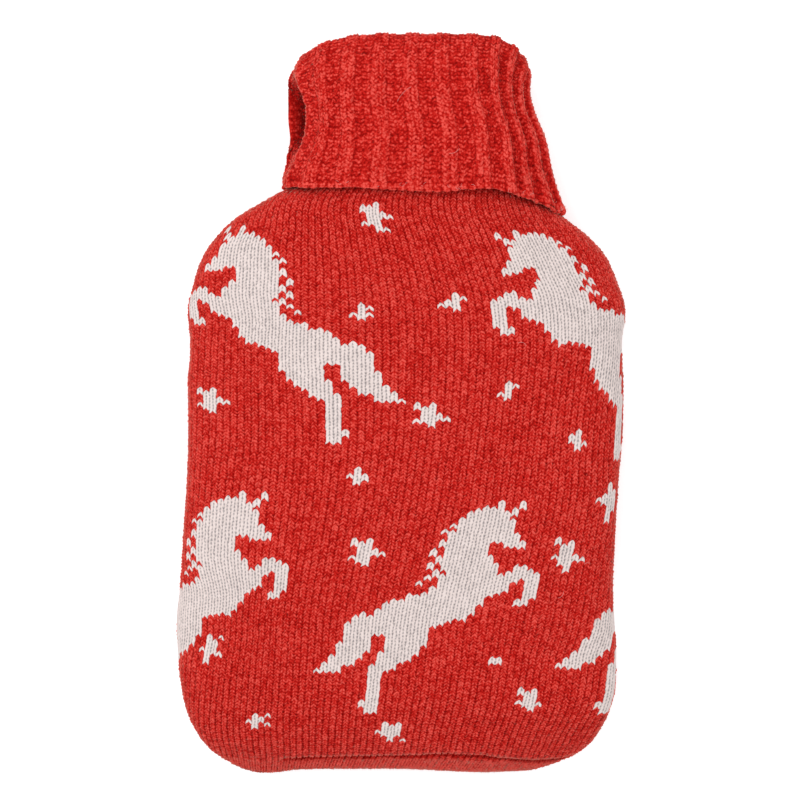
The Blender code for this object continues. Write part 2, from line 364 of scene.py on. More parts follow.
# A leaping unicorn that faces right, wale by wale from the tip of its tail
UNICORN = charted(
    # tail and haunch
    (0, 13, 14), (1, 13, 16), (2, 13, 18), (3, 13, 22), (4, 15, 28), (5, 15, 30), (6, 17, 31), (7, 19, 30),
    (8, 24, 32), (9, 24, 34),
    # hind leg
    (7, 2, 4), (8, 0, 15), (9, 0, 19),
    # barrel
    (10, 13, 35), (11, 14, 35), (12, 16, 37), (13, 17, 37), (14, 19, 38), (15, 22, 40),
    # chest and neck
    (16, 28, 44), (16, 45, 57), (17, 29, 61), (18, 30, 63), (19, 31, 64), (20, 31, 65), (21, 33, 65),
    (22, 36, 51), (23, 39, 49),
    # head, ear and horn
    (22, 55, 67), (23, 55, 64), (24, 54, 62), (25, 54, 58), (26, 54, 56), (24, 63, 65), (25, 65, 67),
    # foreleg
    (24, 40, 46), (25, 41, 47), (26, 44, 49), (27, 45, 49), (28, 37, 48), (29, 39, 47), (27, 37, 39),
    # mane
    (16, 58, 59), (15, 56, 57), (15, 52, 54), (15, 47, 49), (15, 43, 45), (14, 49, 51), (14, 45, 47),
    (14, 42, 43), (13, 40, 41),
)
# Stars that lean to the right, no two of them quite alike
BIG_STAR = charted((0, 2, 3), (0, 6, 8), (1, 2, 8), (2, 0, 9), (3, 0, 1), (3, 4, 6), (4, 4, 5))
WIDE_STAR = charted((0, 2, 3), (0, 6, 8), (1, 1, 7), (2, 0, 8), (3, 3, 5), (4, 3, 4))
CLOSE_STAR = charted((0, 1, 2), (0, 5, 7), (1, 1, 6), (2, 0, 7), (3, 2, 4), (4, 2, 3))
SLIM_STAR = charted((0, 1, 2), (1, 0, 5), (2, 1, 2), (2, 3, 4))
BENT_STAR = charted((0, 1, 2), (1, 1, 3), (2, 0, 5), (3, 3, 4))
SHORT_STAR = charted((0, 1, 2), (1, 0, 5), (2, 3, 4))
TIPPED_STAR = charted((0, 2, 4), (1, 0, 5), (2, 1, 2))
BROAD_STAR = charted((0, 2, 3), (1, 0, 5), (2, 1, 3))
SIDE_STAR = charted((0, 6, 7), (1, 5, 8), (2, 0, 11), (3, 3, 9))
FIVE_STAR = charted((0, 4, 5), (0, 8, 10), (1, 2, 8), (2, 0, 9), (3, 3, 5), (4, 3, 4))
TALL_STAR = charted((0, 3, 4), (1, 0, 8), (2, 3, 7), (3, 3, 4), (3, 8, 9))
LOW_STAR = charted((0, 2, 3), (1, 0, 5), (2, 2, 4), (3, 1, 2), (3, 4, 5))
ROUND_STAR = charted((0, 3, 4), (1, 2, 7), (2, 0, 6), (3, 2, 7), (4, 0, 1))
LEANING_STAR = charted((0, 2, 3), (0, 5, 7), (1, 1, 6), (2, 0, 7), (3, 2, 3))
PAIR = charted((0, 0, 2), (1, 0, 2))


class Facing(Enum):
    """Which way a motif looks."""

    RIGHT = 1
    LEFT = -1


class Motif(NamedTuple):
    """A motif on the bag: its chart, the wale and row of its tail or lower left, and the way it faces."""

    chart: tuple
    wale: int
    row: int
    facing: Facing = Facing.RIGHT


def placed(chart: tuple, *spots: tuple[int, int], facing: Facing = Facing.RIGHT) -> tuple[Motif, ...]:
    """Puts a chart at some wales and rows of the bag."""
    return tuple(Motif(chart, *spot, facing) for spot in spots)


MOTIFS = (
    # the upper unicorns look left and the lower ones right
    *placed(UNICORN, (63, 110), (104, 107), (13, 109), facing=Facing.LEFT),
    *placed(UNICORN, (21, 28), (56, 29), (91, 34)),
    # stars between them, first on the front (wales 33 to 98), then in the gaps of the back
    *placed(BIG_STAR, (60, 175), (20, 174), (108, 176), (124, 84), (130, 12)),
    *placed(SLIM_STAR, (57, 148), (17, 148)),
    *placed(BENT_STAR, (68, 151), (110, 151)),
    *placed(SHORT_STAR, (76, 125), (118, 126), (1, 64)),
    *placed(WIDE_STAR, (36, 118), (59, 74), (107, 115), (24, 116), (16, 74), (102, 96)),
    *placed(CLOSE_STAR, (65, 116)),
    *placed(TIPPED_STAR, (87, 110)),
    *placed(BROAD_STAR, (57, 98)),
    *placed(SIDE_STAR, (92, 90)),
    *placed(FIVE_STAR, (87, 76), (4, 82)),
    *placed(PAIR, (81, 47)),
    *placed(TALL_STAR, (37, 43), (5, 46)),
    *placed(LEANING_STAR, (86, 33), (127, 34)),
    *placed(LOW_STAR, (46, 24)),
    *placed(ROUND_STAR, (66, 19), (8, 20)),
)


def cream_cells(wales: int, rows: int, motifs: tuple) -> np.ndarray:
    """Marks the stitches that are knitted in cream.

    Args:
        wales: stitches round the bag.
        rows: rows from its bottom edge to its neck seam.
        motifs: what is knitted in, and where.

    Returns:
        True for each cream stitch, by row and wale.
    """
    cream = np.zeros((rows, wales), bool)
    for motif in motifs:
        for run in motif.chart:
            wale = (motif.wale + motif.facing.value * run.wale) % wales
            cream[motif.row + run.first : motif.row + run.last, wale] = True
    return cream


# ---------------------------------------------------------------- knitting


@dataclass(frozen=True)
class YarnRelief:
    """Heights of a stitch over the cloth's face, in millimetres."""

    between_wales: float
    leg: float
    between_legs: float
    between_rows: float
    middle_of_row: float


RED_RELIEF = YarnRelief(-0.46, 0.14, -0.08, -0.30, 0.20)
CREAM_RELIEF = YarnRelief(-0.42, 0.06, -0.46, -0.05, 0.05)
RIB_RELIEF = YarnRelief(-0.26, 0.16, -0.14, -0.26, 0.18)
PURL_RELIEF = YarnRelief(-0.10, 0.04, 0.10, -0.30, 0.22)
BORDER_HEIGHT = -0.20       # where red meets cream
RIB_EDGE_HEIGHT = -0.30     # where a rib meets its furrow
SPLIT_IN_ROW = 0.45         # share of a split's depth in the middle of a row, where it is whole at the breaks
GROOVE_IN_ROW = 0.55        # shares of a groove's depth in the middle of a row
GROOVE_AT_BREAK = 1.30      # and between two rows

STRIP_ROWS = 9              # rows of the bottom strip, whose stitches are drawn tight
STRIP_SPLIT = 0.70          # how much deeper their splits are
STRIP_GROOVE = 0.30         # and their grooves
TIGHT_GROOVE = 0.15         # how much deeper red grooves are near the bag's bottom and neck,
LOW_TIGHT = 52.0            # growing so below this row
HIGH_TIGHT = 158.0          # and above this one

RED_GRAIN = 0.08            # how much single points differ in height on the bag, in millimetres
RIB_GRAIN = 0.09            # and on the roll neck
CREAM_LIFT = 0.35           # share of their own unevenness that cream stitches have
CREAM_GRAIN = 0.5           # and of their points'

SHADE_FLOOR_HEIGHT = -0.75          # height at which the yarn is as dark as in the grooves, a painted shade
SHADE_RAMP_HEIGHT = 1.1            # and how much higher it is at its full colour; higher still it is lightened as a painted highlight
HIDDEN_PILE = 0.35          # pile of the faces that are hidden

COLUMNS = 4                 # faces across a stitch
LINES = 2                   # faces along a stitch


class Face(Enum):
    """Half of the bag that a piece covers, by its first wale in quarters of the way round."""

    FRONT = 1
    BACK = 3


@dataclass
class Knitting:
    """A sheet of stitches over a loft, in tables with a row for each line of points and columns round it.

    Fields:
        places: points in millimetres.
        stitches: wale and row of each point, counted along the legs.
        pile: place on the yarn's colour ramp, from 0 in the grooves (painted shade) to 1 on the legs (painted
            highlight), and past both in places.
    """

    places: np.ndarray
    stitches: np.ndarray
    pile: np.ndarray

    def piece(self, name: str, wanted: np.ndarray, first_column: int, columns: int) -> bpy.types.Object:
        """Lays a flat grid on a part of the sheet.

        Args:
            name: name of the piece.
            wanted: which stitches the piece has, by row and wale of the part.
            first_column: first column of points of the part.
            columns: columns of faces in the part.

        Returns:
            The piece.
        """
        lines = self.places.shape[0] - 1
        builder = bmesh.new()
        bmesh.ops.create_grid(builder, x_segments=columns, y_segments=lines, size=0.5)
        bmesh.ops.translate(builder, verts=builder.verts, vec=(0.5, 0.5, 0.0))
        bmesh.ops.scale(builder, verts=builder.verts, vec=(columns, lines, 1.0))
        if not wanted.all():
            spare = [
                face
                for face, middle in ((face, face.calc_center_median()) for face in builder.faces)
                if not wanted[int(middle.y) // LINES, int(middle.x) // COLUMNS]
            ]
            bmesh.ops.delete(builder, geom=spare, context="FACES")
        mesh = bpy.data.meshes.new(name)
        builder.to_mesh(mesh)
        builder.free()
        flat = np.empty(len(mesh.vertices) * 3)
        mesh.vertices.foreach_get("co", flat)
        grid = np.rint(flat.reshape(-1, 3)[:, :2]).astype(int)
        column = (grid[:, 0] + first_column) % self.places.shape[1]
        mesh.vertices.foreach_set("co", (self.places[grid[:, 1], column] * MM).ravel())
        corners = np.empty(len(mesh.loops), int)
        mesh.loops.foreach_get("vertex_index", corners)
        counted = (grid[corners] + (first_column, 0)) / (COLUMNS, LINES)
        mesh.uv_layers.new(name="Stitches").data.foreach_set("uv", counted.ravel())
        # each point's place on the colour ramp of painted groove shade and painted leg highlight
        pile = mesh.attributes.new("pile", "FLOAT", "POINT")
        pile.data.foreach_set("value", self.pile[grid[:, 1], column])
        return finished(name, mesh)

    def tube(self, name: str) -> bpy.types.Object:
        """Lays a flat grid all the way round the sheet and welds its edges to each other."""
        columns = self.places.shape[1]
        wanted = np.ones((self.places.shape[0] // LINES + 1, columns // COLUMNS + 1), bool)
        item = self.piece(name, wanted, 0, columns)
        builder = bmesh.new()
        builder.from_mesh(item.data)
        bmesh.ops.remove_doubles(builder, verts=builder.verts, dist=1e-6)
        builder.to_mesh(item.data)
        builder.free()
        item.data.shade_smooth()
        return item


def in_scene(name: str, data: bpy.types.ID) -> bpy.types.Object:
    """Puts an object in the scene, at the origin."""
    item = bpy.data.objects.new(name, data)
    bpy.context.scene.collection.objects.link(item)
    return item


def points_of(wales: int, rows: int) -> tuple[np.ndarray, np.ndarray]:
    """Wale and row of each point of a sheet, by line and column."""
    return np.meshgrid(np.arange(wales * COLUMNS) / COLUMNS, np.arange(rows * LINES + 1) / LINES)


def strayed(chance: np.random.Generator, spread: float, shape: tuple[int, int]) -> np.ndarray:
    """How far points stray to a side, where each partly follows the one before it in its wale."""
    aside = chance.normal(0.0, spread, shape)
    aside[1:] = 0.6 * (aside[1:] + aside[:-1])
    return aside


def finished(name: str, mesh: bpy.types.Mesh) -> bpy.types.Object:
    """Makes a smooth object of a mesh, riding on the cover."""
    mesh.update()
    mesh.shade_smooth()
    item = in_scene(name, mesh)
    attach(item, BODY)
    return item


@dataclass
class Bag:
    """The knitted bag, one tube of stitches from its bottom seam to the neck.

    Fields:
        wales: stitches round it.
        row_pitch: height of a row.
        leg_drop: how far a stitch's legs reach below its head, in rows.
        unevenness: how much the stitches differ in height, in millimetres.
        waver: how much points stray from their wale, in wales, and from their row, in rows.
        flow: for some heights Y, how far right of the section's middle the front's middle wale is, the pitch
            of the wales there, and the share by which they are wider at the left and closer at the right.
        drift: for some heights Y, how many wales the cloth is pulled to the right at the left side, at the
            right side, and where it turns over the right edge.
        lie_at: wales at which the lie of the rows is given.
        lie: for some heights Y, how much higher the rows stand at those wales than at the front's middle.
        crease: for some X, the height Y of the crease above the bottom strip.
        crease_depth, crease_width: of the crease.
        lip: how far the cloth above the crease hangs over it.
        bulge: how far it stands up behind its lip.
        sags: where the bottom edge sags: X, width and depth.
        shoulder: how much higher the left shoulder is.
        inside_lines, inside_ridge: lines of the other face, and how high and low its ridges go.
    """

    wales: int = 132
    row_pitch: float = 1.55
    leg_drop: float = 0.95
    unevenness: float = 0.10
    waver: tuple[float, float] = (0.050, 0.11)
    flow: tuple = (
        (-176.0, -13.0, 2.90, 0.08),
        (-160.0, -11.5, 3.05, 0.08),
        (-141.0, -9.5, 3.20, 0.03),
        (-105.0, -4.5, 3.32, 0.00),
        (-46.0, 4.1, 3.50, 0.00),
        (-22.0, 6.0, 3.54, 0.05),
        (10.0, 7.7, 3.70, 0.10),
        (28.0, 7.9, 3.78, 0.10),
        (50.0, 6.6, 3.68, 0.07),
        (62.0, 4.6, 3.50, 0.06),
        (75.0, 2.2, 3.33, 0.05),
        (86.0, 0.2, 3.15, 0.00),
        (98.0, -2.1, 3.00, 0.00),
        (123.0, -4.0, 2.30, 0.00),
    )
    drift: tuple = (
        (-176.0, 0.0, 0.0, 0.0),
        (-150.0, 0.5, -0.5, 0.9),
        (-120.0, 1.5, -1.1, 0.9),
        (-105.0, 2.2, 0.0, 0.3),
        (-93.0, 2.2, 0.2, 0.0),
        (-70.0, 0.3, 0.0, 0.0),
        (-45.0, 0.0, 0.0, 0.0),
        (-20.0, 1.0, 0.0, 0.0),
        (5.0, 2.4, 0.3, 0.0),
        (35.0, 3.2, 0.6, 0.0),
        (55.0, 1.3, 0.6, 0.0),
        (75.0, 0.2, 0.3, 0.0),
        (95.0, 0.0, 0.0, 0.0),
        (123.0, 0.0, 0.0, 0.0),
    )
    lie_at: tuple = (0, 33, 38, 44, 55, 66, 77, 83, 88, 99, 132)
    lie: tuple = (
        (-168.0, 0.0, 0.0, 0.0, 0.0, 0.0, 0.0, 0.0, 0.0, 0.0, 0.0, 0.0),
        (-155.0, 0.0, 0.0, -0.5, -1.2, -0.2, 0.0, -1.2, -2.2, -3.0, -5.0, 0.0),
        (-135.0, 0.0, 2.0, 0.5, -1.5, -0.3, 0.0, -2.5, -4.2, -5.5, -10.0, 0.0),
        (-110.0, 0.0, 6.0, 3.0, -2.5, -0.5, 0.0, -4.0, -4.6, -4.8, -8.5, 0.0),
        (-80.0, 0.0, 5.0, 2.0, -2.4, -0.3, 0.0, -4.3, -6.8, -6.5, -7.0, 0.0),
        (-50.0, 0.0, 5.5, 4.0, 1.2, 0.8, 0.0, -3.9, -5.4, -5.5, -5.0, 0.0),
        (-20.0, 0.0, 5.0, 4.0, 3.0, 1.5, 0.0, -2.0, -2.0, -2.0, -1.0, 0.0),
        (25.0, 0.0, 1.0, 0.8, 0.6, 1.2, 0.0, -0.8, 2.6, 8.5, 16.0, 0.0),
        (60.0, 0.0, -1.0, -1.0, -1.2, -0.2, 0.0, 0.4, 3.5, 9.5, 16.5, 0.0),
        (95.0, 0.0, 0.5, 0.5, 0.4, 0.4, 0.0, -0.8, 1.0, 5.5, 10.0, 0.0),
        (123.0, 0.0, 0.0, 0.0, 0.0, 0.0, 0.0, 0.0, 0.0, 0.0, 0.0, 0.0),
    )
    crease: tuple = (
        (-75.0, -169.2),
        (-54.0, -168.0),
        (-14.0, -167.2),
        (8.0, -166.2),
        (23.0, -165.0),
        (36.0, -165.2),
        (52.0, -167.5),
        (68.0, -169.2),
        (90.0, -167.5),
    )
    crease_depth: float = 4.4
    crease_width: float = 1.3
    lip: float = 1.3
    bulge: float = 1.2
    sags: tuple = ((-65.0, 13.0, 1.9), (40.0, 26.0, 1.6))
    shoulder: float = 1.5
    inside_lines: int = 120
    inside_ridge: float = 0.11

    def build(self, looks: "Finishes") -> list[bpy.types.Object]:
        """Knits the bag and puts its finishes on.

        Args:
            looks: the materials.

        Returns:
            Its pieces: front, back, their motifs, and the inside.
        """
        self.loft = Loft(tuple(reversed(BODY_SECTIONS)), BODY_FORM, self.shape)
        self.rows = int(self.loft.length / self.row_pitch)
        cream = cream_cells(self.wales, self.rows, MOTIFS)
        sheet = self.knit(cream)
        pieces = []
        for face, name in ((Face.FRONT, "front"), (Face.BACK, "back")):
            first = face.value * self.wales // 4
            half = np.roll(cream, -first, axis=1)[:, : self.wales // 2]
            for wanted, piece, look, slot in (
                (~half, f"bag_{name}", looks.chenille, RED_SLOT),
                (half, f"motifs_{name}", looks.cream, CREAM_SLOT),
            ):
                item = sheet.piece(piece, wanted, first * COLUMNS, self.wales // 2 * COLUMNS)
                item.data.materials.append(look)
                pieces.append(item)
                log.info("%s: %d faces", piece, len(item.data.polygons))
        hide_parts("body")
        pieces.append(self.inside(looks))
        return pieces

    def shape(
        self, points: np.ndarray, angles: np.ndarray, rows: np.ndarray, extra: np.ndarray
    ) -> np.ndarray:
        """Presses the crease into the front, lets the bottom edge sag and raises the left shoulder.

        Args:
            points: the samples.
            angles: their angles round the sections.
            rows: the section of each row of samples.
            extra: not used by the bag.

        Returns:
            The samples in their new places.
        """
        x, y, z = np.moveaxis(points, 2, 0)
        high, edge = rows[:, 4:5], rows[:, 5:6]
        at = read_table(self.crease, np.clip(x, self.crease[0][0], self.crease[-1][0]))[..., 0]
        along = smooth_step((x + 62.0) / 12.0) * smooth_step((88.0 - x) / 10.0)
        across = hump(y - at, 0.0, self.crease_width)
        front = smooth_step(np.sin(angles) / 0.5) * smooth_step((high - edge) / 6.0)
        bulge = self.bulge * hump(y - at, 4.5, 3.0) * along * front
        sag = sum(depth * hump(x, middle, width) for middle, width, depth in self.sags)
        lip = self.lip * hump(y - at, 1.8, 1.4) * along * front
        sag = sag * smooth_step((-150.0 - y) / 20.0) + lip
        shoulder = self.shoulder * hump(x, -54.0, 8.0) * smooth_step((y - 80.0) / 14.0)
        crease = self.crease_depth * along * across * front
        return np.stack([x, y - sag + shoulder, z - crease + bulge], axis=2)

    def shares(self, wale: np.ndarray, level: np.ndarray) -> np.ndarray:
        """Share of the way round at which a wale lies, with the wales closer where the cloth is drawn in.

        Args:
            wale: wales counted from the middle of the back by the left side.
            level: levels of the cloth.

        Returns:
            Shares of the way round.
        """
        height = self.loft.y_of(level)
        flow, drift = read_table(self.flow, height), read_table(self.drift, height)
        girth = np.maximum(self.loft.girth_of(level), 1.0)
        turn = wale / self.wales
        wider = np.clip(flow[..., 1] * self.wales / girth - 1.0, -0.4, 0.6)
        angle = 2.0 * math.pi * (turn - 0.5)
        across = turn + (wider * np.sin(angle) + flow[..., 2] * (np.cos(angle) - 1.0)) / (2.0 * math.pi)
        from_middle = np.abs(wale - self.wales / 2.0)
        pulled = smooth_step((from_middle - 11.0) / 20.0) * smooth_step((61.0 - from_middle) / 25.0)
        over_edge = smooth_step((wale - 98.0) / 3.0) * smooth_step((113.0 - wale) / 10.0)
        pull = np.where(wale < self.wales / 2.0, drift[..., 0], drift[..., 1]) * pulled
        pull = pull + drift[..., 2] * over_edge
        return across + pull / self.wales + flow[..., 0] / girth * np.sin(math.pi * turn) ** 2

    def levels(self, wale: np.ndarray, row: np.ndarray) -> np.ndarray:
        """Level of a point on a row, as the rows lie aslant and bowed."""
        level = row * self.loft.length / self.rows
        known = read_table(self.lie, self.loft.y_of(level))
        at = np.clip(np.searchsorted(self.lie_at, wale, side="right") - 1, 0, len(self.lie_at) - 2)
        before, after = np.take(self.lie_at, at), np.take(self.lie_at, at + 1)
        part = (wale - before) / (after - before)
        low, high = (np.take_along_axis(known, k[..., None], axis=-1)[..., 0] for k in (at, at + 1))
        return level + low + (high - low) * part

    def knit(self, cream: np.ndarray) -> Knitting:
        """Lays out the stitches and raises their legs.

        Args:
            cream: which stitches are cream.

        Returns:
            The sheet.
        """
        wale, line = points_of(self.wales, self.rows)
        chance = np.random.default_rng(29)
        aside = strayed(chance, self.waver[0], wale.shape)
        along = chance.normal(0.0, self.waver[1], wale.shape)
        along = along * smooth_step(np.minimum(line, self.rows - line))
        row = line - self.leg_drop * np.abs(2.0 * (wale % 1.0) - 1.0) + along
        level = self.levels(wale, row)
        place, facing = self.loft.read(level, self.shares(wale, level) + aside / self.wales)
        height = stitch_heights(cream, self.unevenness)
        # painted sheen: the bottom strip is lightened as if it caught grazing light
        painted_sheen = 0.7 * smooth_step((STRIP_ROWS + 1.0 - line) / 2.0)
        # the height gives painted shade in the grooves and a painted highlight on the legs
        pile = np.clip((height - SHADE_FLOOR_HEIGHT) / SHADE_RAMP_HEIGHT + painted_sheen, 0.0, 1.5)
        return Knitting(place + facing * height[..., None], np.stack([wale, line], axis=2), pile)

    def inside(self, looks: "Finishes") -> bpy.types.Object:
        """Makes the cloth's other face, which shows only down the neck and meets the outer face at its seam.

        Args:
            looks: the materials.

        Returns:
            The piece.
        """
        around, lines = self.wales, self.inside_lines
        other = Loft(tuple(reversed(INNER_SECTIONS)), BODY_FORM, self.shape)
        wale, line = np.meshgrid(np.arange(around, dtype=float), np.arange(lines + 1, dtype=float))
        level = other.length * np.minimum(line / (lines - 1), 1.0)
        place, facing = other.read(level, wale / around)
        rim, out = self.loft.read(np.full(around, self.loft.length), wale[0] / around)
        place[-1] = rim - out * 0.6
        place[:-1] += facing[:-1] * (self.inside_ridge * (2.0 * (line[:-1] % 2.0) - 1.0))[..., None]
        pile = np.full(place.shape[:2], HIDDEN_PILE)
        sheet = Knitting(place, np.stack([wale, line * 2.0], axis=2), pile)
        item = sheet.tube("bag_inside")
        item.data.materials.append(looks.reverse)
        log.info("bag_inside: %d faces", len(item.data.polygons))
        return item


def stitch_heights(cream: np.ndarray, unevenness: float) -> np.ndarray:
    """Heights of the bag's points over its face: two legs to a stitch, in red or cream.

    Args:
        cream: which stitches are cream, by row and wale.
        unevenness: how much the stitches differ in height, in millimetres.

    Returns:
        Heights in millimetres, by line and column of points.
    """
    rows, wales = cream.shape
    line = np.arange(rows * LINES + 1)[:, None]
    column = np.arange(wales * COLUMNS)[None, :]
    below, above = np.clip((line - 1) // LINES, 0, rows - 1), np.clip(line // LINES, 0, rows - 1)
    before, after = (column - 1) // COLUMNS % wales, column // COLUMNS
    met = [cream[row, wale] for row in (below, above) for wale in (before, after)]
    some, every = np.any(met, axis=0), np.all(met, axis=0)
    chance = np.random.default_rng(41)
    lift = chance.normal(0.0, unevenness, (rows, wales))
    height = np.where(every, relief(CREAM_RELIEF, line, column), relief(RED_RELIEF, line, column))
    height = height + lift[above, after] * np.where(every, CREAM_LIFT, 1.0) * (column % COLUMNS != 0)
    height += chance.normal(0.0, RED_GRAIN, height.shape) * np.where(every, CREAM_GRAIN, 1.0)
    tight = smooth_step((LOW_TIGHT - line / LINES) / 30.0) + smooth_step((line / LINES - HIGH_TIGHT) / 22.0)
    in_groove, in_split = column % COLUMNS == 0, column % COLUMNS == 2
    height -= TIGHT_GROOVE * tight * in_groove * ~some
    height -= (STRIP_SPLIT * in_split + STRIP_GROOVE * in_groove) * (line < STRIP_ROWS * LINES)
    return np.where(some & ~every, BORDER_HEIGHT, height)


def relief(yarn: YarnRelief, line: np.ndarray, column: np.ndarray) -> np.ndarray:
    """Heights that one yarn gives to points.

    Args:
        yarn: heights of its stitch.
        line: lines of the points.
        column: columns of the points.

    Returns:
        Heights in millimetres, by line and column.
    """
    middle = line % LINES == 1
    legs = np.where(middle, yarn.middle_of_row, yarn.between_rows) + yarn.leg
    centre = yarn.between_legs * np.where(middle, SPLIT_IN_ROW, 1.0)
    groove = yarn.between_wales * np.where(middle, GROOVE_IN_ROW, GROOVE_AT_BREAK)
    return np.choose(column % COLUMNS, [groove + np.zeros_like(legs), legs, centre, legs])


# ---------------------------------------------------------------- roll neck


@dataclass
class RollNeck:
    """The roll neck in two-by-two rib, from its free edge up the flap, over the fold and down the throat.

    Fields:
        wales: stitches round it, four to a rib.
        row_pitch: height of a row.
        leg_drop: how far a knit stitch's legs reach, in rows. They point down, as the flap is turned over.
        purl_bow: how far a purl stitch's bump is bowed, in rows.
        flow: for some heights Y, how far right of the section's middle the middle rib is, how wide a rib and
            its furrow are there, and how far the ribs at the right are drawn in.
        rib_height: how high a rib stands over its furrows on the flap, at the fold and down the throat.
        unevenness: how much the stitches differ in height, in millimetres.
        waver: how much points stray from their wale, in wales, and from their row, in rows.
        rounded: how far the top's corners are sunk.
        tuck_at, tuck_length: middle and reach, along Y, of the tuck in the left side.
        tuck_rim, tuck_pocket: how far its rim and its deepest line are pushed to the right.
        tuck_sink: how far the cloth sinks in it.
        curl: how far the free edge curls down to the bag.
        narrowed, waist: how far the right side is drawn in below the tuck's height and beside it.
        corner: how far the lower left corner is moved to the right and up.
        dips: how far the free edge hangs at the right, how much more at its tip, and at its middle.
        dip_swing, dip_sink: shares of the dip by which the edge also swings out and comes down.
    """

    wales: int = 80
    row_pitch: float = 1.93
    leg_drop: float = 0.9
    purl_bow: float = 0.45
    flow: tuple = (
        (100.0, -2.6, 16.8, 26.0),
        (107.0, -2.4, 16.8, 26.0),
        (114.5, -2.1, 16.4, 27.0),
        (136.0, 0.6, 15.6, 28.0),
        (152.7, 0.6, 15.0, 25.0),
        (169.4, 0.3, 14.6, 18.0),
        (178.0, 0.0, 14.4, 10.0),
    )
    rib_height: tuple[float, float, float] = (1.7, 0.7, 0.8)
    unevenness: float = 0.12
    waver: tuple[float, float] = (0.055, 0.12)
    rounded: float = 9.0
    tuck_at: float = 137.5
    tuck_length: float = 18.5
    tuck_rim: float = 6.0
    tuck_pocket: float = 10.5
    tuck_sink: float = 12.5
    curl: float = 2.6
    narrowed: float = 2.8
    waist: float = 2.2
    corner: tuple[float, float] = (2.2, 1.0)
    dips: tuple[float, float, float] = (10.5, 2.4, 1.9)
    dip_swing: float = 0.44
    dip_sink: float = 0.25

    def build(self, looks: "Finishes") -> list[bpy.types.Object]:
        """Knits the roll neck and puts its finish on.

        Args:
            looks: the materials.

        Returns:
            Its pieces: the face that shows, the hidden face and the bound edge.
        """
        sections = FLAP_SECTIONS + FOLD_SECTIONS + THROAT_SECTIONS
        turns = [0.0] * len(FLAP_SECTIONS) + [45.0, 90.0, 135.0] + [180.0] * len(THROAT_SECTIONS)
        hangs = [max(0.0, 1.0 - k / 4.0) for k in range(len(sections))]
        flap, fold, throat = self.rib_height
        ribs = [flap] * (len(FLAP_SECTIONS) - 1) + [fold] * (len(FOLD_SECTIONS) + 1)
        ribs += [throat] * (len(THROAT_SECTIONS) - 1) + [0.0]
        self.loft = Loft(sections, COLLAR_FORM, self.shape, np.array([turns, hangs]).T)
        run = run_along([section.y for section in sections], [section.high for section in sections])
        self.ribs_at_level = (run * self.loft.length / run[-1], np.array(ribs))
        self.rows = round(self.loft.length / self.row_pitch)
        face = self.knit().tube("collar_face")
        hidden = self.other_face().tube("collar_hidden_face")
        edge = self.bound_edge().tube("collar_bound_edge")
        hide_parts("collar")
        for item in (face, hidden, edge):
            item.data.materials.append(looks.rib)
            log.info("%s: %d faces", item.name, len(item.data.polygons))
        return [face, hidden, edge]

    def shape(
        self, points: np.ndarray, angles: np.ndarray, rows: np.ndarray, extra: np.ndarray
    ) -> np.ndarray:
        """Sinks the top's corners, draws in both sides, curls the free edge and lets its right end hang.

        Args:
            points: the samples.
            angles: their angles round the sections.
            rows: the section of each row of samples.
            extra: how far the cloth has turned over there, in degrees, and how much of the dip it shares.

        Returns:
            The samples in their new places.
        """
        x, y, z = np.moveaxis(points, 2, 0)
        turn, hangs = extra[:, :1], extra[:, 1:2]
        centre, half = (rows[:, 1:2] + rows[:, 2:3]) / 2.0, (rows[:, 2:3] - rows[:, 1:2]) / 2.0
        side = np.abs(x - centre) / half
        sunk = self.rounded * smooth_step((y - 140.0) / 34.0) * side ** np.where(x < centre, 3.9, 7.2)
        turned = np.degrees(np.mod(angles, 2.0 * math.pi))
        rim = smooth_step((turned - 110.0) / 35.0) * (1.0 - smooth_step((turned - 172.0) / 14.0))
        unturned = 1.0 - smooth_step(turn / 45.0)
        tucked = hump(y, self.tuck_at, self.tuck_length) * unturned
        x = x + tucked * (self.tuck_rim * rim + self.tuck_pocket * hump(turned, 168.0, 7.0))
        z = z - tucked * self.tuck_sink * hump(turned, 177.0, 9.0)
        front = smooth_step((np.sin(angles) + 0.9) / 0.8)
        curled = smooth_step((118.0 - y) / 16.0) * unturned * smooth_step(np.sin(angles) / 0.5)
        z = z - self.curl * curled
        flap = turn < 1.0
        x = x - self.narrowed * smooth_step((x - 48.0) / 15.0) * smooth_step((135.0 - y) / 20.0) * flap
        x = x - self.waist * smooth_step((x - 42.0) / 22.0) * hump(y, 145.0, 17.0, 4) * flap
        corner = smooth_step((110.0 - y) / 8.0) * smooth_step((-x - 44.0) / 14.0)
        x, y = x + self.corner[0] * corner, y + self.corner[1] * corner
        at_right, at_tip, at_middle = self.dips
        dip = at_right * smooth_step((x - 38.0) / 40.0) + at_tip * smooth_step((x - 62.0) / 12.0)
        dip = dip + at_middle * hump(x, 13.0, 24.0)
        dip = dip * hangs * front
        return np.stack([x + self.dip_swing * dip, y - sunk - dip, z - self.dip_sink * dip], axis=2)

    def shares(self, wale: np.ndarray, level: np.ndarray) -> np.ndarray:
        """Share of the way round at which a wale lies. Over the front the ribs keep their own width.

        Args:
            wale: wales counted from the middle of the back by the left side.
            level: levels of the cloth.

        Returns:
            Shares of the way round.
        """
        girth = self.loft.girth_of(level)
        flow = read_table(self.flow, self.loft.y_of(level))
        turn = wale / self.wales
        wider = np.clip(flow[..., 1] * self.wales / 4.0 / girth - 1.0, 0.0, 0.45)
        angle = 2.0 * math.pi * (turn - 0.5)
        across = turn + wider * np.sin(angle) / (2.0 * math.pi)
        across = across + flow[..., 0] / girth * np.sin(math.pi * turn) ** 2
        drawn = smooth_step((wale - 46.0) / 22.0) * smooth_step((79.5 - wale) / 18.0)
        return across - flow[..., 2] / girth * drawn

    def ribbed(self, wale: np.ndarray, level: np.ndarray) -> np.ndarray:
        """Height of the ribs alone at a wale and level."""
        beside = np.abs((wale + 2.0) % 4.0 - 2.0)
        return np.interp(level, *self.ribs_at_level) * (1.0 - smooth_step((beside - 0.5) / 1.0))

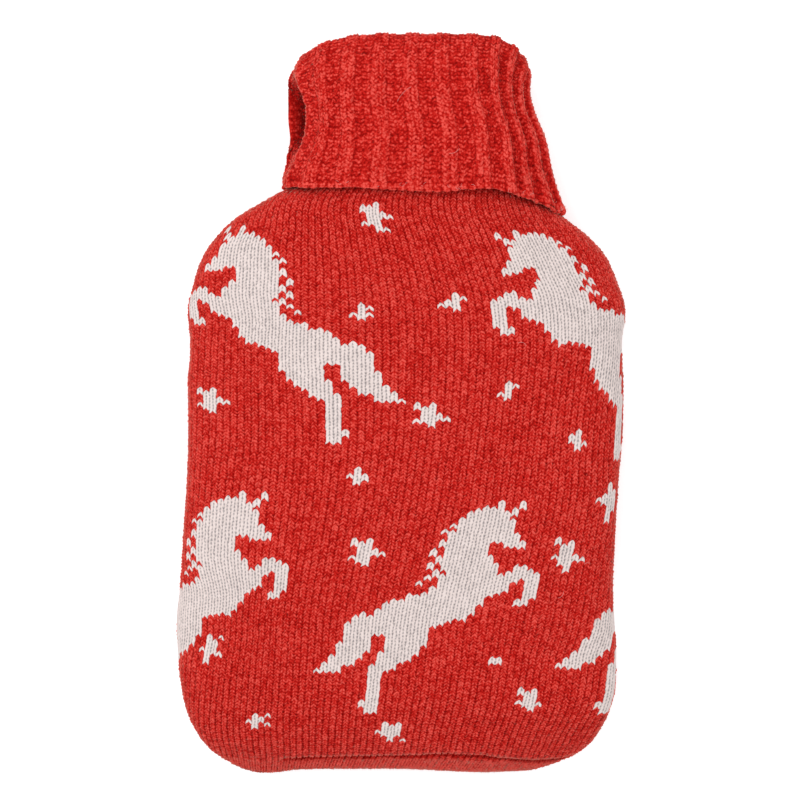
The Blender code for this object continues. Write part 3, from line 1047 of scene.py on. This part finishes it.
    def painted_tuck_shade(self, place: np.ndarray, level: np.ndarray) -> np.ndarray:
        """Painted shade: how much darker the yarn's colour is made in the tuck at the left side, under its
        rim.
        """
        x, y, z = np.moveaxis(place, -1, 0)
        tall = hump(y, 137.0, 20.0, 4)
        low = smooth_step((31.0 - z) / 7.0) * smooth_step((z - 3.0) / 6.0)
        under_rim = 0.45 * smooth_step((x + 55.5) / 3.0) + 0.60 * smooth_step((x + 51.5) / 5.0)
        under_rim = under_rim * smooth_step((-30.0 - x) / 4.0)
        return 1.25 * tall * low * under_rim * (level < self.loft.length / 2.0)

    def knit(self) -> Knitting:
        """Lays out the rib's stitches: two wales of legs, then two of purl bumps, beginning in a rib."""
        wale, line = points_of(self.wales, self.rows)
        inside = np.abs(2.0 * (wale % 1.0) - 1.0)
        purl = np.isin(np.floor(wale).astype(int) % 4, (1, 2))
        chance = np.random.default_rng(57)
        legs = np.where(purl, self.leg_drop - self.purl_bow * (1.0 - inside), self.leg_drop * inside)
        along = chance.normal(0.0, self.waver[1], wale.shape)
        row = line + (legs + along) * smooth_step(line / 1.5)
        aside = strayed(chance, self.waver[0], wale.shape)
        level = np.clip(row * self.loft.length / (self.rows + 1), 0.0, self.loft.length)
        place, facing = self.loft.read(level, self.shares(wale + aside, level))
        column = np.arange(wale.shape[1])[None, :]
        step = np.arange(wale.shape[0])[:, None]
        height = np.where(purl, relief(PURL_RELIEF, step, column), relief(RIB_RELIEF, step, column))
        edge_of_rib = np.isin(column % (4 * COLUMNS), (COLUMNS, 3 * COLUMNS))
        height = np.where(edge_of_rib, RIB_EDGE_HEIGHT, height)
        lift = chance.normal(0.0, self.unevenness, (self.rows + 1, self.wales))
        height = height + lift[step // LINES, column // COLUMNS] * (column % COLUMNS != 0)
        height += chance.normal(0.0, RIB_GRAIN, height.shape)
        ribs = self.ribbed(wale, level)
        # painted shade in the furrows and painted light on the ribs, stronger towards the right
        rib_shading = 0.26 + 0.30 * smooth_step((place[..., 0] - 30.0) / 20.0)
        pile = (height - SHADE_FLOOR_HEIGHT) / SHADE_RAMP_HEIGHT + rib_shading * (ribs / self.rib_height[0] - 0.62)
        # painted shade in the tuck under the rim
        pile = np.clip(pile, 0.0, 1.0) - self.painted_tuck_shade(place, level)
        height = height + ribs * (1.0 + 0.5 * smooth_step((place[..., 0] - 30.0) / 20.0))
        return Knitting(place + facing * height[..., None], np.stack([wale, line], axis=2), pile)

    def other_face(self) -> Knitting:
        """Lays out the face between the flap and the throat, closed to the shown face at both ends."""
        across = np.arange(self.wales * 2) / 2.0
        steps = 72
        wale, line = np.meshgrid(across, np.arange(steps + 3, dtype=float))
        level = self.loft.length * np.clip((line - 1.0) / steps, 0.0, 1.0)
        place, facing = self.loft.read(level, self.shares(wale, level))
        fold = hump(level, 78.0, 9.0)
        depth = np.where((line > 0) & (line < steps + 2), RIB_SHEET - 0.9 * fold, 0.2)
        height = self.ribbed(wale, level) * (1.0 - fold) - depth
        places = (place + facing * height[..., None])[:, ::-1]
        return Knitting(places, np.stack([wale, line], axis=2), np.full(level.shape, HIDDEN_PILE))

    def bound_edge(self) -> Knitting:
        """Lays out the bound-off stitches that close the free edge, a lump to each wale."""
        turns = 10
        across = np.arange(self.wales * COLUMNS) / COLUMNS
        wale, turn = np.meshgrid(across, np.arange(turns + 1, dtype=float))
        share = self.shares(wale, np.zeros_like(wale))
        place, facing = self.loft.read(np.zeros_like(wale), share)
        ahead, _ = self.loft.read(np.full_like(wale, 1.0), share)
        down = place - ahead
        down /= np.linalg.norm(down, axis=2, keepdims=True)
        chance = np.random.default_rng(73)
        lumps = chance.normal(0.0, 0.22, (4, self.wales))
        at = wale.astype(int) % self.wales
        swell = np.abs(np.sin(math.pi * wale)) ** 0.7
        frayed = smooth_step((place[..., 0] - 58.0) / 12.0)
        radius = 0.85 + (0.28 + lumps[0][at] * (1.0 + 1.5 * frayed) + 0.4 * frayed) * swell
        angle = 2.0 * math.pi * turn / turns
        rise = self.ribbed(wale, np.zeros_like(wale)) - 0.9 + lumps[1][at] * swell
        reach = -0.3 + lumps[2][at] * swell
        out = rise + radius * np.cos(angle)
        away = reach + radius * np.sin(angle)
        # painted shade between the lumps, full colour on their tops
        pile = np.clip(0.25 + 0.75 * swell, 0.0, 1.0)
        places = place + facing * out[..., None] + down * away[..., None]
        return Knitting(places, np.stack([wale, turn], axis=2), pile)


# ---------------------------------------------------------------- loose fibres


class Lint(NamedTuple):
    """A loose fibre seen from above: its middle, the way it runs in degrees from +X, its length and bend."""

    x: float
    y: float
    turn: float
    length: float
    bend: float


@dataclass
class LooseFibres:
    """Fine pale fibres that lie on the knit or stand off the roll neck's edge.

    Fields:
        lint: single fibres.
        frayed: middle and reach in X and Y of each place where many fibres stick out, and how many.
        radius: of a fibre.
        lift: how high its middle stands over the knit.
        pieces: points along a fibre.
        dropped_from: height from which its points are let down, in metres.
        lowest: height in metres that one of its points has to meet, or the fibre is left out.
        slack: how much lower than its highest point the others may lie, in metres.
    """

    lint: tuple = (
        Lint(1.5, 145.9, 46.0, 9.5, 0.8),
        Lint(25.0, 119.0, 28.0, 5.5, -0.8),
        Lint(92.6, -103.0, 65.0, 5.0, 0.8),
        Lint(56.8, 28.4, -15.0, 4.0, 0.8),
        Lint(75.4, -89.6, 50.0, 4.0, -0.6),
        Lint(87.9, -75.2, 10.0, 3.0, 0.5),
    )
    frayed: tuple = (
        (-25.0, 104.4, 10.0, 0.8, 3),
        (2.0, 103.4, 14.0, 0.8, 6),
        (32.0, 102.4, 14.0, 1.0, 6),
        (55.0, 99.6, 7.0, 1.2, 4),
        (76.5, 94.5, 3.0, 3.0, 12),
    )
    radius: float = 0.06
    lift: float = 0.35
    pieces: int = 7
    dropped_from: float = 0.1
    lowest: float = 0.010
    slack: float = 0.0015

    def build(self, under: list[bpy.types.Object], look: bpy.types.Material) -> bpy.types.Object:
        """Lays the fibres.

        Args:
            under: pieces that the fibres lie on.
            look: their material.

        Returns:
            One piece with all the fibres.
        """
        depsgraph = bpy.context.evaluated_depsgraph_get()
        trees = [BVHTree.FromObject(item, depsgraph) for item in under]
        chance = np.random.default_rng(83)
        strands = list(self.lint)
        for x, y, reach_x, reach_y, count in self.frayed:
            for _ in range(count):
                across, along = chance.uniform(-1.0, 1.0, 2)
                form = [chance.uniform(*ends) for ends in ((-80.0, 80.0), (0.8, 2.0), (-0.6, 0.6))]
                strands.append(Lint(x + reach_x * across, y + reach_y * along, *form))
        curve = bpy.data.curves.new("loose fibres", "CURVE")
        curve.dimensions = "3D"
        curve.bevel_depth = self.radius * MM
        curve.bevel_resolution = 0
        curve.use_fill_caps = True
        for strand in strands:
            self.lay(curve, strand, trees)
        shaped = in_scene("loose fibres", curve)
        mesh = bpy.data.meshes.new_from_object(shaped.evaluated_get(bpy.context.evaluated_depsgraph_get()))
        bpy.data.objects.remove(shaped)
        bpy.data.curves.remove(curve)
        mesh.name = "loose_fibres"
        mesh.materials.clear()
        mesh.materials.append(look)
        item = finished("loose_fibres", mesh)
        log.info("loose_fibres: %d faces", len(mesh.polygons))
        return item

    def lay(self, curve: bpy.types.Curve, strand: Lint, trees: list[BVHTree]) -> None:
        """Lays one fibre on what is under it.

        Args:
            curve: what the fibre is added to.
            strand: the fibre.
            trees: what lies under it.
        """
        turn = math.radians(strand.turn)
        ahead = Vector((math.cos(turn), math.sin(turn), 0.0))
        aside = Vector((-ahead.y, ahead.x, 0.0))
        points, heights = [], []
        steps = np.linspace(-1.0, 1.0, self.pieces)
        for step in steps:
            spot = Vector((strand.x, strand.y, 0.0)) + ahead * (step * strand.length / 2.0)
            spot += aside * (strand.bend * (1.0 - step * step))
            start = Vector((spot.x * MM, spot.y * MM, self.dropped_from))
            hits = [tree.ray_cast(start, Vector((0.0, 0.0, -1.0)))[0] for tree in trees]
            points.append(start)
            heights.append(max((hit.z for hit in hits if hit is not None), default=0.0))
        highest = max(heights)
        if highest < self.lowest:
            return
        spline = curve.splines.new("POLY")
        spline.points.add(len(points) - 1)
        for point, start, height, step in zip(spline.points, points, heights, steps):
            rest = max(height, highest - self.slack) + self.lift * (1.2 - step * step) * MM
            point.co = (start.x, start.y, rest, 1.0)


# ---------------------------------------------------------------- finishes


class Board:
    """A node tree that is being wired."""

    def __init__(self, tree: bpy.types.NodeTree) -> None:
        """Starts on a tree."""
        self.tree = tree

    def add(self, kind: str, inputs: dict | None = None, **settings: object) -> bpy.types.Node:
        """Adds a node.

        Args:
            kind: the node's type.
            inputs: what its inputs take, each a value or an output socket.
            settings: its properties.

        Returns:
            The node.
        """
        node = self.tree.nodes.new(kind)
        for name, value in settings.items():
            setattr(node, name, value)
        for name, value in (inputs or {}).items():
            socket = node.inputs[name]
            if isinstance(value, bpy.types.NodeSocket):
                self.link(value, socket)
            else:
                socket.default_value = value
        return node

    def link(self, output: bpy.types.NodeSocket, socket: bpy.types.NodeSocket) -> None:
        """Joins an output to an input."""
        self.tree.links.new(output, socket)

    def maths(self, operation: str, first: object, second: object = 0.0) -> object:
        """Adds a sum and gives its output."""
        return self.add("ShaderNodeMath", {0: first, 1: second}, operation=operation).outputs[0]

    def ranged(self, value: object, low: float, high: float) -> object:
        """Maps a value so that low gives 0 and high gives 1, and gives the output."""
        inputs = {"Value": value, "From Min": low, "From Max": high}
        return self.add("ShaderNodeMapRange", inputs, clamp=True).outputs[0]

    def mixed(self, factor: object, first: object, second: object) -> object:
        """Mixes two colours and gives the output."""
        inputs = {0: factor, 6: first, 7: second}
        return self.add("ShaderNodeMix", inputs, data_type="RGBA").outputs[2]

    def waves(self, value: object, pace: float) -> object:
        """Adds waves over a value, none of them under 0, and gives the output."""
        return self.maths("ABSOLUTE", self.maths("SINE", self.maths("MULTIPLY", value, pace)))


def new_material(name: str) -> tuple[bpy.types.Material, Board, bpy.types.Node]:
    """Starts a material and gives it with its board and its shader."""
    material = bpy.data.materials.new(name)
    material.use_nodes = True
    return material, Board(material.node_tree), material.node_tree.nodes["Principled BSDF"]


def new_group(name: str, inputs: tuple, outputs: tuple) -> tuple:
    """Starts a shader node group.

    Args:
        name: its name.
        inputs: name, socket type and first value of each input.
        outputs: name and socket type of each output.

    Returns:
        The group, its board, its input node and its output node.
    """
    group = bpy.data.node_groups.new(name, "ShaderNodeTree")
    for label, kind, value in inputs:
        socket = group.interface.new_socket(label, in_out="INPUT", socket_type=kind)
        if value is not None:
            socket.default_value = value
    for label, kind in outputs:
        group.interface.new_socket(label, in_out="OUTPUT", socket_type=kind)
    board = Board(group)
    return group, board, board.add("NodeGroupInput"), board.add("NodeGroupOutput")


def pile_group() -> bpy.types.NodeTree:
    """Cut pile of the yarn: small round tufts, each of its own tone and lighter at its middle as painted
    shading, and a mottle coarser than a stitch.
    """
    group, board, given, result = new_group(
        "cut pile",
        (
            ("Place", "NodeSocketVector", None),
            ("Fuzz Scale", "NodeSocketFloat", 1500.0),
            ("Mottle Scale", "NodeSocketFloat", 160.0),
        ),
        (("Fuzz", "NodeSocketFloat"), ("Mottle", "NodeSocketFloat")),
    )
    place, fuzz_scale, mottle_scale = (given.outputs[k] for k in range(3))
    spread = {"Vector": place, "Scale": mottle_scale, "Detail": 2.0, "Roughness": 0.6}
    noise = board.add("ShaderNodeTexNoise", spread)
    board.link(board.ranged(noise.outputs[0], 0.32, 0.68), result.inputs["Mottle"])
    tufts = board.add("ShaderNodeTexVoronoi", {"Vector": place, "Scale": fuzz_scale})
    # painted shading of each tuft, lightest at its middle, darker towards its rim; it also drives the fuzz
    # bump
    tuft_shading = board.ranged(tufts.outputs["Distance"], 0.75, 0.1)
    chance = board.add("ShaderNodeSeparateColor", {0: tufts.outputs["Color"]}).outputs[0]
    halves = (board.maths("MULTIPLY", value, 0.5) for value in (tuft_shading, chance))
    board.link(board.maths("ADD", *halves), result.inputs["Fuzz"])
    return group


def stitch_group() -> bpy.types.NodeTree:
    """Masks of a stitch: the groove between wales, the split between its legs, the breaks between rows, the
    dots in grooves and splits, and a chance value for each leg.
    """
    group, board, given, result = new_group(
        "stitch strands",
        (("Stitches", "NodeSocketVector", None),),
        tuple((label, "NodeSocketFloat") for label in ("Groove", "Split", "Break", "Dot", "Chance")),
    )
    parts = board.add("ShaderNodeSeparateXYZ", {0: given.outputs["Stitches"]})
    wale, row = parts.outputs[0], parts.outputs[1]
    both = board.maths("POWER", board.maths("SUBTRACT", 1.0, board.waves(wale, 2.0 * math.pi)), 2.0)
    middle = board.waves(wale, math.pi)
    gap = board.maths("SUBTRACT", 1.0, board.waves(row, math.pi))
    masks = (
        ("Groove", board.maths("MULTIPLY", both, board.maths("LESS_THAN", middle, 0.7))),
        ("Split", board.maths("MULTIPLY", both, board.maths("GREATER_THAN", middle, 0.7))),
        ("Break", board.maths("POWER", gap, 2.5)),
        ("Dot", board.maths("MULTIPLY", board.maths("POWER", both, 0.8), board.maths("POWER", gap, 0.7))),
    )
    for label, mask in masks:
        board.link(mask, result.inputs[label])
    two_legs = {0: given.outputs["Stitches"], 1: (2.0, 1.0, 1.0)}
    legs = board.add("ShaderNodeVectorMath", two_legs, operation="MULTIPLY")
    cell = board.add("ShaderNodeVectorMath", {0: legs.outputs[0]}, operation="FLOOR")
    chance = board.add("ShaderNodeTexWhiteNoise", {"Vector": cell.outputs[0]})
    board.link(chance.outputs[0], result.inputs["Chance"])
    return group


@dataclass(frozen=True)
class KnitFinish:
    """Finish of a knitted yarn.

    Fields:
        deep, body, tip: colours in the grooves, a painted shade, on the strands, and at the tips of the pile,
            a painted highlight.
        shade: share of the deep colour that is left in the painted shade where the knit lies in a tuck.
        groove, split, gap, dot: how much darker, as painted shade, the grooves between wales, the splits
            between legs, the breaks between rows and the dots are.
        fuzz, mottle, chance: shares of the fine, the coarse and the leg by leg unevenness in the colour.
        fuzz_scale, mottle_scale: scales of the first two, to the metre.
        strand_bump, fuzz_bump: heights of a strand and of the fuzz, in metres.
        roughness, specular, sheen, sheen_roughness, sheen_tint: how the surface shines.
    """

    name: str
    deep: tuple[float, float, float]
    body: tuple[float, float, float]
    tip: tuple[float, float, float]
    shade: float = 0.35
    groove: float = 0.12
    split: float = 0.06
    gap: float = 0.38
    dot: float = 0.26
    fuzz: float = 1.10
    mottle: float = 0.14
    chance: float = 0.24
    fuzz_scale: float = 1000.0
    mottle_scale: float = 120.0
    strand_bump: float = 0.00008
    fuzz_bump: float = 0.00022
    roughness: float = 0.95
    specular: float = 0.12
    sheen: float = 0.70
    sheen_roughness: float = 0.3
    sheen_tint: tuple[float, float, float] = (1.0, 0.5, 0.38)

    def material(self, groups: "Effects") -> bpy.types.Material:
        """Wires the finish.

        Args:
            groups: the shared effects.

        Returns:
            The material.
        """
        material, board, shader = new_material(self.name)
        place = board.add("ShaderNodeTexCoord").outputs["Object"]
        stitches = board.add("ShaderNodeUVMap", uv_map="Stitches").outputs[0]
        depth = board.add("ShaderNodeAttribute", attribute_name="pile").outputs["Fac"]
        scales = {"Place": place, "Fuzz Scale": self.fuzz_scale, "Mottle Scale": self.mottle_scale}
        pile = board.add("ShaderNodeGroup", scales, node_tree=groups.pile)
        strands = board.add("ShaderNodeGroup", {"Stitches": stitches}, node_tree=groups.strands)
        # grooves, splits, breaks and dots darken the colour as painted shade; leg chance, fuzz and mottle
        # vary its tone
        for mask, share, middle in (
            (strands.outputs["Groove"], -self.groove, 0.17),
            (strands.outputs["Split"], -self.split, 0.17),
            (strands.outputs["Break"], -self.gap, 0.33),
            (strands.outputs["Dot"], -self.dot, 0.06),
            (strands.outputs["Chance"], self.chance, 0.5),
            (pile.outputs["Fuzz"], self.fuzz, 0.5),
            (pile.outputs["Mottle"], self.mottle, 0.5),
        ):
            change = board.maths("MULTIPLY", board.maths("SUBTRACT", mask, middle), share)
            depth = board.maths("ADD", depth, change)
        # colour ramp: painted tuck shade, painted groove shade, the yarn's body colour, then a painted
        # highlight on the tips
        shade = (*(channel * self.shade for channel in self.deep), 1.0)
        # below the groove colour the ramp runs on into the painted tuck shade
        lowest = board.mixed(board.ranged(depth, -0.7, 0.0), shade, (*self.deep, 1.0))
        lower = board.mixed(board.ranged(depth, 0.1, 0.6), lowest, (*self.body, 1.0))
        colour = board.mixed(board.ranged(depth, 0.6, 1.25), lower, (*self.tip, 1.0))
        board.link(colour, shader.inputs["Base Color"])
        relief_of_both = board.maths(
            "ADD",
            board.maths("MULTIPLY", strands.outputs["Groove"], -self.strand_bump),
            board.maths("MULTIPLY", pile.outputs["Fuzz"], self.fuzz_bump),
        )
        bump = board.add("ShaderNodeBump", {"Height": relief_of_both, "Strength": 1.0, "Distance": 1.0})
        board.link(bump.outputs[0], shader.inputs["Normal"])
        shader.inputs["Roughness"].default_value = self.roughness
        shader.inputs["Specular IOR Level"].default_value = self.specular
        shader.inputs["Sheen Weight"].default_value = self.sheen
        shader.inputs["Sheen Roughness"].default_value = self.sheen_roughness
        shader.inputs["Sheen Tint"].default_value = (*self.sheen_tint, 1.0)
        return material


class Effects:
    """Node groups that the finishes share."""

    def __init__(self) -> None:
        """Builds each group once."""
        self.pile = pile_group()
        self.strands = stitch_group()


class Finishes:
    """The cover's materials."""

    def __init__(self) -> None:
        """Makes them all."""
        effects = Effects()
        # in each finish the first colour is painted shade for the grooves and the last a painted highlight
        # for the legs
        reds = (0.36, 0.002, 0.001), (0.60, 0.0150, 0.010), (0.83, 0.090, 0.069)
        self.chenille = KnitFinish("red chenille knit", *reds).material(effects)
        self.rib = KnitFinish(
            "red chenille rib", *reds, groove=0.06, gap=0.34, fuzz=1.35, fuzz_scale=860.0
        ).material(effects)
        self.reverse = KnitFinish("red chenille, inside", *reds, strand_bump=0.0004).material(effects)
        self.cream = KnitFinish(
            "cream yarn",
            (0.38, 0.33, 0.325),
            (0.77, 0.655, 0.625),
            (0.90, 0.785, 0.76),
            groove=0.20,
            split=0.14,
            gap=0.05,
            dot=0.65,
            fuzz=0.30,
            mottle=0.10,
            chance=0.20,
            fuzz_bump=0.00005,
            sheen=0.05,
            sheen_tint=(1.0, 1.0, 1.0),
        ).material(effects)

    def fibre(self) -> bpy.types.Material:
        """Plain pale pink finish of the loose fibres."""
        material, _, shader = new_material("loose fibre")
        shader.inputs["Base Color"].default_value = (0.80, 0.38, 0.35, 1.0)
        shader.inputs["Roughness"].default_value = 0.7
        return material


# ---------------------------------------------------------------- studio


@dataclass
class Studio:
    """Pale floor, soft light and the camera straight above.

    Fields:
        frame: width of what the camera sees at the cover's outline, in metres.
        looked_at: X, Y and Z of the picture's middle.
        lens, sensor: focal length and width of the sensor, in millimetres.
        under: how far the floor lies under the cover, in metres.
        seen, thrown: grey of the floor to the camera, and to the light that it throws back.
        glow: how much the floor glows to the camera.
        sky: strength of the light from all round.
        lamp_at, lamp_size, lamp_power: of the softbox at the upper left.
    """

    frame: float = 0.3824
    looked_at: tuple[float, float, float] = (-0.0005, 0.00215, 0.018)
    lens: float = 135.0
    sensor: float = 36.0
    under: float = 0.0004
    seen: float = 0.9
    thrown: float = 0.85
    glow: float = 0.45
    sky: float = 0.985
    lamp_at: tuple[float, float, float] = (-0.7, 0.7, 1.3)
    lamp_size: float = 1.2
    lamp_power: float = 6.0

    def build(self) -> None:
        """Sets up floor, lights and camera."""
        self.floor()
        self.lights()
        self.camera()

    def floor(self) -> None:
        """A plain white floor under the cover."""
        builder = bmesh.new()
        bmesh.ops.create_grid(builder, x_segments=1, y_segments=1, size=3.0)
        bmesh.ops.translate(builder, verts=builder.verts, vec=(0.0, 0.0, -self.under))
        mesh = bpy.data.meshes.new("floor")
        builder.to_mesh(mesh)
        builder.free()
        item = in_scene("floor", mesh)
        mesh.materials.append(self.white())

    def white(self) -> bpy.types.Material:
        """White to the camera, with a faint shadow, and a duller grey to the light that it throws back."""
        material, board, shader = new_material("white floor")
        seen = board.add("ShaderNodeLightPath").outputs["Is Camera Ray"]
        colour = board.mixed(seen, *((grey, grey, grey, 1.0) for grey in (self.thrown, self.seen)))
        board.link(colour, shader.inputs["Base Color"])
        shader.inputs["Roughness"].default_value = 1.0
        shader.inputs["Specular IOR Level"].default_value = 0.0
        shader.inputs["Emission Color"].default_value = (1.0, 1.0, 1.0, 1.0)
        board.link(board.maths("MULTIPLY", seen, self.glow), shader.inputs["Emission Strength"])
        return material

    def lights(self) -> None:
        """Even light from all round, with a little more from the upper left."""
        scene = bpy.context.scene
        scene.view_settings.view_transform = "Standard"
        world = bpy.data.worlds.new("studio")
        world.use_nodes = True
        sky = world.node_tree.nodes["Background"]
        sky.inputs["Color"].default_value = (1.0, 1.0, 1.0, 1.0)
        sky.inputs["Strength"].default_value = self.sky
        scene.world = world
        lamp = bpy.data.lights.new("softbox", "AREA")
        lamp.shape = "RECTANGLE"
        lamp.size, lamp.size_y = self.lamp_size, self.lamp_size
        lamp.energy = self.lamp_power
        item = in_scene("softbox", lamp)
        item.location = self.lamp_at
        item.rotation_euler = (Vector((0.0, 0.0, 0.0)) - item.location).to_track_quat("-Z", "Y").to_euler()

    def camera(self) -> None:
        """The camera, straight above, with a long lens."""
        lens = bpy.data.cameras.new("camera")
        lens.lens, lens.sensor_width = self.lens, self.sensor
        item = in_scene("camera", lens)
        x, y, z = self.looked_at
        item.location = (x, y, z + self.frame * self.lens / self.sensor)
        lens.clip_start, lens.clip_end = 0.05, 20.0
        bpy.context.scene.camera = item


def main() -> None:
    """Builds the cover piece by piece, then the studio."""
    logging.basicConfig(level=logging.INFO, format="%(name)s: %(message)s", stream=sys.stdout)
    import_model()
    looks = Finishes()
    bag = Bag().build(looks)
    neck = RollNeck().build(looks)
    LooseFibres().build([bag[0], bag[1], *neck], looks.fibre())
    Studio().build()


if __name__ == "__main__":
    main()
